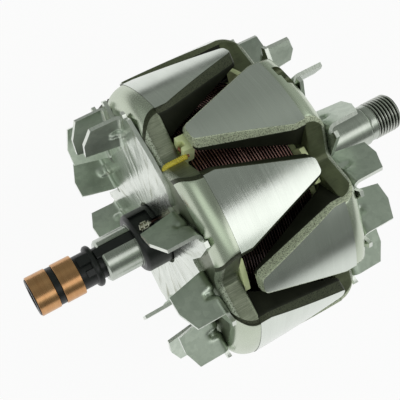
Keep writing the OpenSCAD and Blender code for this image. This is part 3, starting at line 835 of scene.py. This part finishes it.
# Leads: each end of the winding is a wire in a ribbed yellow sleeve that leaves
# the bobbin's lug, drops into a groove in the disc and runs in to the hub. The
# wire is varnished in the hub's channel and tinned at the clip.
WIRE_R, SLEEVE_R, LEAD_X, LEAD_IN_R = 0.55, 1.1, -27.1, 11.05
RIB, RIB_DEPTH, LEAD_BEND, LUG_ASIDE = 0.8, 0.2, 1.6, 1.3
LOOP_X, LOOP_R, LOOP_START, LOOP_WIDE = -18.9, 46.4, -3.4, 2.6


def pipe(bm, path, radius, around=16, ribs=0.0):
    """A tube along a path, with ribs of the given depth."""
    rings, run, across = [], 0.0, None
    for k, spot in enumerate(path):
        before, after = path[max(k - 1, 0)], path[min(k + 1, len(path) - 1)]
        ahead = (after - before).normalized()
        run += (spot - before).length / MM
        if across is None:
            across = ahead.orthogonal().normalized()
        across = (across - ahead * across.dot(ahead)).normalized()
        beside = ahead.cross(across)
        r = (radius - ribs * (0.5 + 0.5 * math.cos(2 * math.pi * run / RIB))) * MM
        rings.append([bm.verts.new(spot + r * (math.cos(a) * across + math.sin(a) * beside))
                      for a in (2 * math.pi * i / around for i in range(around))])
    for low, high in zip(rings, rings[1:]):
        band(bm, low, high)
    bm.faces.new(rings[0])
    bm.faces.new(rings[-1])


def routed(corners, rel, step):
    """Points every step along runs with rounded corners, drawn aside toward the lug."""
    dense = []
    line = [Vector(p) for p in rounded(corners, LEAD_BEND, 8)]
    for a, b in zip(line, line[1:]):
        count = max(1, round((b - a).length / step))
        dense += [a + (b - a) * k / count for k in range(count)]
    return [at(p.x, p.y, rel, LUG_ASIDE * (p.y - LEAD_IN_R) / LEAD_OUT_R)
            for p in dense + line[-1:]]


braid = new_finish("sleeve_glass_braid")
weave = braid.node("TexVoronoi", {}, {"Vector": stretched(braid, 2.6, 2.6, 2.6), "Scale": 1.0})
soil = even_grain(braid, 0.4, detail=3.0)
braid_tone = braid.mix(0.5 * soil + 0.7 * weave, (0.36, 0.27, 0.01, 1), (0.92, 0.78, 0.10, 1))
shine(braid, braid_tone, 0.42 + 0.2 * weave, 0.0, bump(braid, weave, 0.5, 0.08))
bare_copper = new_finish("lead_copper")
tarnish = even_grain(bare_copper, 0.8, detail=3.0)
along, = along_axes(bare_copper, "X")
varnished = ranged(bare_copper, along, -26.0, -28.0)
dipped = ranged(bare_copper, along, -32.6, -33.4)
wire_tone = bare_copper.mix(tarnish, (0.16, 0.05, 0.03, 1), (0.55, 0.24, 0.14, 1))
wire_tone = bare_copper.mix(varnished, wire_tone, (0.045, 0.022, 0.018, 1))
wire_tone = bare_copper.mix(dipped, wire_tone, (0.70, 0.68, 0.58, 1))
shine(bare_copper, wire_tone, 0.25 + 0.2 * tarnish, 0.9, bump(bare_copper, tarnish, 0.2, 0.03))
for letter, rel in (("a", LEAD_AT), ("b", LEAD_AT + OPPOSITE)):
    runs = [(-18.6, LEAD_OUT_R), (LEAD_X, LEAD_OUT_R), (LEAD_X, 12.3)]
    bm = bmesh.new()
    pipe(bm, routed(runs, rel, 0.14), SLEEVE_R, ribs=RIB_DEPTH)
    sleeve = solid(bm, "sleeve_" + letter)
    fit(sleeve, [braid], ["lead_sleeve_" + letter], angle=70)
    runs = [(-17.8, LEAD_OUT_R), (LEAD_X, LEAD_OUT_R), (LEAD_X, LEAD_IN_R), (-36.9, LEAD_IN_R)]
    bm = bmesh.new()
    pipe(bm, routed(runs, rel, 0.4), WIRE_R)
    loop = []
    for a in range(0, 181, 12):
        rise = math.sin(math.radians(a))
        w = LOOP_WIDE * a / 180 + LOOP_START
        loop.append(at(LOOP_X - 0.9 * rise, LOOP_R + 2.4 * rise, rel, w))
    pipe(bm, loop, WIRE_R, around=12)
    wire = solid(bm, "wire_" + letter)
    fit(wire, [bare_copper], ["lead_wire_" + letter], angle=60)

# Fans: one pressing of zinc plated sheet steel on the outer face of each claw
# pole. The blades are bent up from the plate at uneven spacing, and a rib
# pressed across each bend stiffens it.
FAN_T, BEND_R = 1.5, 1.6
FAN_BORE_R, FAN_HUB_R, FAN_R = 13.0, 33.4, 54.6
BLADE_IN_R, BLADE_OUT_R, SWEEP = 38.0, 52.0, 13
BLADE_H, CORNER_H = 16.0, 13.0
FAN_MID_R = (FAN_HUB_R + FAN_BORE_R) / 2
REAR_BLADES = (3, 38, 73, 106, 140, 198, 228, 258, 281, 301)
FRONT_BLADES = (14, 38, 72, 101, 128, 152, 177, 204, 238, 273, 302, 325, 350)
LEAD_GAPS = ((301, 363), (140, 198))
SHEARED_HIGHLIGHT, VARNISHED = 1, 2
CORNER_AT, CORNER_RUN, RIB_PUSH = 0.56, 0.43, 1.25


def polar(r, degrees):
    return Vector((r * math.cos(math.radians(degrees)), r * math.sin(math.radians(degrees))))


INNER_END, OUTER_END = polar(BLADE_IN_R, -SWEEP), Vector((BLADE_OUT_R, 0))
ALONG = (OUTER_END - INNER_END).normalized()
ACROSS = Vector((-ALONG.y, ALONG.x))
BEND_L = (OUTER_END - INNER_END).length


def tongue(rel):
    """The part of the plate that carries one blade."""
    shift = ACROSS * (BEND_R + FAN_T / 2)
    low = math.degrees(math.atan2(ALONG.y, ALONG.x))
    points = [polar(FAN_MID_R, -low), INNER_END + shift - ALONG * (BLADE_IN_R - FAN_HUB_R),
              OUTER_END + shift + ALONG * 0.5, polar(FAN_R, 2.6), polar(FAN_R, 5),
              polar((FAN_R + FAN_HUB_R) / 2, 11), polar(FAN_HUB_R - 1, 18), polar(FAN_MID_R, 13)]
    return [flat(p.length, rel + math.degrees(math.atan2(p.y, p.x))) for p in points]


def lead_web(start, end):
    """The closed part of the plate over a lead."""
    points = [(FAN_MID_R, start + 22), (0.97 * FAN_R, start + 4), (0.995 * FAN_R, start + 9),
              (0.87 * FAN_R, start + 26), (0.81 * FAN_R, end - 24), (BLADE_IN_R, end - SWEEP - 3),
              (FAN_MID_R, end - 26)]
    return [flat(r, a) for r, a in points]


def blade(bm, side, rel, seed):
    """One blade with its bend, as a sheet with a pressed rib, thickened to both sides."""
    columns, bend_rows, rows = 36, 7, 14
    mid_r = BEND_R + FAN_T / 2
    lean = 0.6 * noise.noise((seed, 3.1, 0.0))

    def middle(i, j):
        u = i / columns
        top = BLADE_H
        if u >= CORNER_AT:
            top = BLADE_H + (CORNER_H - BLADE_H) * (u - CORNER_AT) / CORNER_RUN
        if j <= bend_rows:
            a = math.pi / 2 * j / bend_rows
            y, h = mid_r * (1 - math.sin(a)), FAN_T / 2 + mid_r * (1 - math.cos(a))
        else:
            v = (j - bend_rows) / rows
            y, h = lean * v, FAN_T / 2 + mid_r + v * (top - FAN_T / 2 - mid_r)
        s = BEND_L * (u + (1 - u) ** 3 * 0.2 * max(0.0, h - FAN_T) / BLADE_H)
        rib = math.exp(-((s - 0.5 * BEND_L) / 1.7) ** 4) * math.exp(-((h - 2.4) / 2.9) ** 4)
        push = RIB_PUSH * rib
        y, h = y + push * 0.7, h + push * 0.7
        spot = INNER_END + ALONG * s + ACROSS * y
        return Vector((spot.x, spot.y, h))

    grid = [[middle(i, j) for j in range(bend_rows + rows + 1)] for i in range(columns + 1)]
    faces = []
    for way in (-1, 1):
        layer = []
        for i, column in enumerate(grid):
            made = []
            for j, spot in enumerate(column):
                du = grid[min(i + 1, columns)][j] - grid[max(i - 1, 0)][j]
                dv = column[min(j + 1, len(column) - 1)] - column[max(j - 1, 0)]
                p = spot + du.cross(dv).normalized() * way * FAN_T / 2
                out = Vector((p.x, p.y)).length
                turn = math.degrees(math.atan2(p.y, p.x))
                made.append(bm.verts.new(at(side * (POLE_HALF + p.z), out, rel + turn)))
            layer.append(made)
        faces.append(layer)
    last = bend_rows + rows
    for layer in faces:
        for i in range(columns):
            for j in range(last):
                bm.faces.new((layer[i][j], layer[i + 1][j],
                              layer[i + 1][j + 1], layer[i][j + 1]))
    low, high = faces
    rim = [(i, 0) for i in range(columns)] + [(columns, j) for j in range(last)]
    rim += [(i, last) for i in range(columns, 0, -1)] + [(0, j) for j in range(last, 0, -1)]
    for (i, j), (m, n) in zip(rim, rim[1:] + rim[:1]):
        face = bm.faces.new((low[i][j], low[m][n], high[m][n], high[i][j]))
        face.material_index = SHEARED_HIGHLIGHT


zinc = new_finish("fan_zinc")
spangle = zinc.node("TexVoronoi", {},
                    {"Vector": stretched(zinc, 0.55, 0.55, 0.55), "Scale": 1.0}, output="Color")
spangle_tone = zinc.node("SeparateColor", {}, {0: spangle})
cloud = even_grain(zinc, 0.1, detail=4.0)
fine = even_grain(zinc, 1.5, detail=3.0)
tone = 0.25 * spangle_tone + 0.5 * cloud + 0.25 * fine
shine(zinc, zinc.mix(tone, (0.37, 0.43, 0.36, 1), (0.68, 0.75, 0.65, 1)), 0.26 + 0.16 * cloud,
      1.0, bump(zinc, cloud + 0.1 * fine, 0.2, 0.10))
# Painted highlight: the cut edges are coloured near white to stand for bright lines of light along
# them, as well as for the lighter bare steel of the cut.
sheared_highlight = new_finish("fan_sheared_edge_painted_highlight")
tears = grain(sheared_highlight, stretched(sheared_highlight, 2.0, 0.4, 0.4), detail=3.0)
shine(sheared_highlight, sheared_highlight.mix(tears, (0.60, 0.64, 0.58, 1), (0.92, 0.95, 0.89, 1)),
      0.25 + 0.2 * tears, 1.0, bump(sheared_highlight, tears, 0.4, 0.06))
plate_zinc = new_finish("fan_plate_varnished")
beside, above = along_axes(plate_zinc, "YZ")
around = plate_zinc.node("Math", {"operation": "ARCTAN2"}, {0: above, 1: beside})
out = from_axis(plate_zinc)
outward = plate_zinc.node("CombineXYZ", {}, {0: around * 5.0, 1: out * 0.07})
runs = grain(plate_zinc, outward, detail=2.5)
cloud = even_grain(plate_zinc, 0.12, detail=4.0)
outward = plate_zinc.node("CombineXYZ", {}, {0: around * 12.0, 1: out * 0.05, 2: 3.0})
folds = grain(plate_zinc, outward, detail=1.5)
# The plate is coloured dark olive in streaks along the folds.
dark_fold_streaks = threshold(plate_zinc, 0.35 * cloud + 0.65 * folds, 0.53, 0.74)
bright = plate_zinc.mix(runs, (0.52, 0.57, 0.50, 1), (0.86, 0.90, 0.83, 1))
shine(plate_zinc, plate_zinc.mix(dark_fold_streaks, bright, (0.22, 0.25, 0.14, 1)), 0.16 + 0.16 * cloud, 1.0,
      bump(plate_zinc, runs + 0.3 * cloud - 0.5 * folds, 0.4, 0.8))
for name, side, angles, gaps in (("fan_rear", -1, REAR_BLADES, LEAD_GAPS),
                                 ("fan_front", 1, FRONT_BLADES, ())):
    plate = bmesh.new()
    outlines = [disc(FAN_HUB_R)] + [tongue(a) for a in angles] + [lead_web(*g) for g in gaps]
    sheet(plate, outlines, [disc(FAN_BORE_R)], side * POLE_HALF, side * (POLE_HALF + FAN_T))
    for face in plate.faces:
        face.material_index = VARNISHED if abs(face.normal.x) > 0.5 else SHEARED_HIGHLIGHT
    blades = bmesh.new()
    for k, a in enumerate(angles):
        blade(blades, side, a, k * 1.7 + side)
    fan = join(name + "_pressing", plate, blades)
    fit(fan, [zinc, sheared_highlight, plate_zinc], [name], angle=40)

# Terminal hub: a black moulded collar on the shaft against the rear fan. Each
# lead wire is twisted into a tinned clip in one of its two open pockets.
HUB_R, FLOOR_R, POCKET_OFF, POCKET_W, POCKET_L, POCKET_LIP = 11.9, 9.9, -8, 8.6, 7.4, 1.4
CHANNEL_W = 1.7
black = new_finish("moulded_black")
mould = even_grain(black, 1.4, detail=4.0)
dust = even_grain(black, 0.25, detail=4.0)
shine(black, black.mix(dust, (0.004, 0.005, 0.005, 1), (0.016, 0.019, 0.018, 1)),
      0.26 + 0.2 * dust, 0.0, bump(black, mould, 0.3, 0.06), gloss=0.4)
bm = bmesh.new()
lathe(bm, rounded([(HUB_X, HUB_IN_R + 0.05), (HUB_X, HUB_R - 1.2), (HUB_X + 1.2, HUB_R),
                   (-POLE_HALF, HUB_R), (-POLE_HALF, HUB_IN_R + 0.05)], 0.5, 3), closed=True)
hub = solid(bm, "hub_collar")
pockets = bmesh.new()
for rel in (0, OPPOSITE):
    block(pockets, BAR_AT + POCKET_OFF + rel, FLOOR_R, HUB_R + 1, POCKET_W, HUB_X + POCKET_LIP,
          HUB_X + POCKET_LIP + POCKET_L)
cut(hub, solid(pockets, "pocket_cutter"))
channels = bmesh.new()
for rel in (0, OPPOSITE):
    block(channels, LEAD_AT + rel, FLOOR_R, HUB_R + 1, CHANNEL_W, HUB_X + POCKET_L, -POLE_HALF + 1)
cut(hub, solid(channels, "channel_cutter"))
soften(hub, 0.2)
fit(hub, [black], ["terminal_hub"])

tinned = new_finish("terminal_tinned")
solder = even_grain(tinned, 1.5, detail=3.0)
shine(tinned, tinned.mix(solder, (0.50, 0.47, 0.36, 1), (0.86, 0.84, 0.76, 1)),
      0.16 + 0.2 * solder, 1.0, bump(tinned, solder, 0.4, 0.15))
CLIP_X, CLIP_W, CLIP_T, CLIP_HALF = -35.5, 3.2, 0.5, 1.6
EAR_R, EAR_HALF, EAR_IN_W, EAR_OUT_W = 11.6, 1.1, 1.1, 1.6
TWIST_HALF, TWIST_AT_R, TWIST_STEPS, TWIST_STEP, TWIST_WIRE_R = 2.3, 11.1, 60, 0.27, 0.34
for letter, rel in (("a", LEAD_AT), ("b", LEAD_AT + OPPOSITE)):
    strip = bmesh.new()
    block(strip, rel, FLOOR_R + 0.05, FLOOR_R + 0.05 + CLIP_T, CLIP_W,
          CLIP_X - CLIP_HALF, CLIP_X + CLIP_HALF)
    ears = []
    for way in (-1, 1):
        ear = bmesh.new()
        corners = [(FLOOR_R + 0.1, -CLIP_HALF), (EAR_R, -EAR_HALF), (EAR_R, EAR_HALF),
                   (FLOOR_R + 0.1, CLIP_HALF)]
        sides = [[ear.verts.new(at(CLIP_X + x, r, rel, way * w)) for r, x in corners]
                 for w in (EAR_IN_W, EAR_OUT_W)]
        for quad in sides:
            ear.faces.new(quad)
        band(ear, *sides)
        ears.append(ear)
    twist = bmesh.new()
    coil = []
    for k in range(TWIST_STEPS + 1):
        x = CLIP_X - TWIST_HALF + 2 * TWIST_HALF * k / TWIST_STEPS
        a = k * TWIST_STEP
        coil.append(at(x, TWIST_AT_R + 0.6 * math.sin(a), rel, 0.9 * math.cos(a)))
    pipe(twist, coil, TWIST_WIRE_R, around=10)
    clip = join("terminal_clip_" + letter, strip, *ears, twist)
    soften(clip, 0.1)
    fit(clip, [tinned], ["terminal_" + letter])

# Lead bars: black moulded strips that carry the connections under the rear
# bearing, flush in the two slots of its seat.
BAR_RUN, BAR_TOP_R = (-56.35, -33.25), SEAT_R - 0.35
for letter, rel in (("a", BAR_AT), ("b", BAR_AT + OPPOSITE)):
    bm = bmesh.new()
    block(bm, rel, BAR_IN_R, BAR_TOP_R, BAR_W, *BAR_RUN)
    bar = solid(bm, "bar_" + letter)
    soften(bar, 0.3)
    fit(bar, [black], ["lead_bar_" + letter])

# Slip ring carrier: a black moulded sleeve over the shaft's rear stub, with a
# seat for each ring, a beaded collar, and small moulded tabs on its neck.
FREE_X, RIM_X, RIM_OUT_R, RING_SEAT_R, NECK_R, BEAD_R = -83.0, -82.6, 7.45, 6.85, 6.75, 8.3
OUTER_RING, INNER_RING, NECK_X, BEAD_X = (-82.6, -74.7), (-72.3, -64.4), -59.2, -56.4
TABS = ((BAR_AT, 14, -63.4, 8.1), (BAR_AT + 42, 9, -62.0, 7.7), (BAR_AT + OPPOSITE, 14, -63.4, 8.1))
bm = bmesh.new()
lathe(bm, rounded([
    (SEAT_X, STUB_R + 0.05), (FREE_X, STUB_R + 0.05), (FREE_X, RIM_OUT_R - 0.4),
    (RIM_X, RIM_OUT_R), (RIM_X, RING_SEAT_R), (OUTER_RING[1], RING_SEAT_R),
    (OUTER_RING[1], RIM_OUT_R), (INNER_RING[0], RIM_OUT_R), (INNER_RING[0], RING_SEAT_R),
    (INNER_RING[1], RING_SEAT_R), (INNER_RING[1], NECK_R), (NECK_X, NECK_R),
    (NECK_X, BEAD_R - 0.8), (NECK_X + 0.8, BEAD_R), (BEAD_X - 0.8, BEAD_R),
    (BEAD_X, BEAD_R - 0.8), (BEAD_X, BAR_IN_R - 0.05), (SEAT_X, BAR_IN_R - 0.05),
], 0.3, 3), closed=True)
for rel, half_turn, x0, top in TABS:
    tab_w = 2 * top * math.sin(math.radians(half_turn))
    block(bm, rel, NECK_R - 0.6, top, tab_w, x0, NECK_X + 0.5)
carrier = solid(bm, "carrier_sleeve")
fit(carrier, [black], ["slip_ring_carrier"])

# Slip rings: two copper rings on the carrier, turned, with fine brush marks
# around them and a small break on each edge.
RING_R, RING_FIT = 7.85, 0.05
ring_copper = new_finish("ring_copper")
marks = grain(ring_copper, stretched(ring_copper, 4.5, 0.03, 0.03), detail=3.0, rough=0.7)
worn_track = grain(ring_copper, stretched(ring_copper, 0.5, 0.04, 0.04), detail=2.0)
ring_tone = ring_copper.mix(0.5 * marks + 0.5 * worn_track,
                            (0.44, 0.20, 0.080, 1), (0.74, 0.45, 0.22, 1))
shine(ring_copper, ring_tone, 0.20 + 0.12 * marks, 1.0, bump(ring_copper, marks, 0.3, 0.015))
for name, (x0, x1) in (("slip_ring_outer", OUTER_RING), ("slip_ring_inner", INNER_RING)):
    bm = bmesh.new()
    low, high, bore_r = x0 + RING_FIT, x1 - RING_FIT, RING_SEAT_R + RING_FIT
    middle = (low + high) / 2
    lathe(bm, rounded([(middle, bore_r), (low, bore_r), (low, RING_R), (high, RING_R),
                       (high, bore_r), (middle, bore_r)], 0.25, 3))
    ring = solid(bm, name + "_turned")
    fit(ring, [ring_copper], [name])
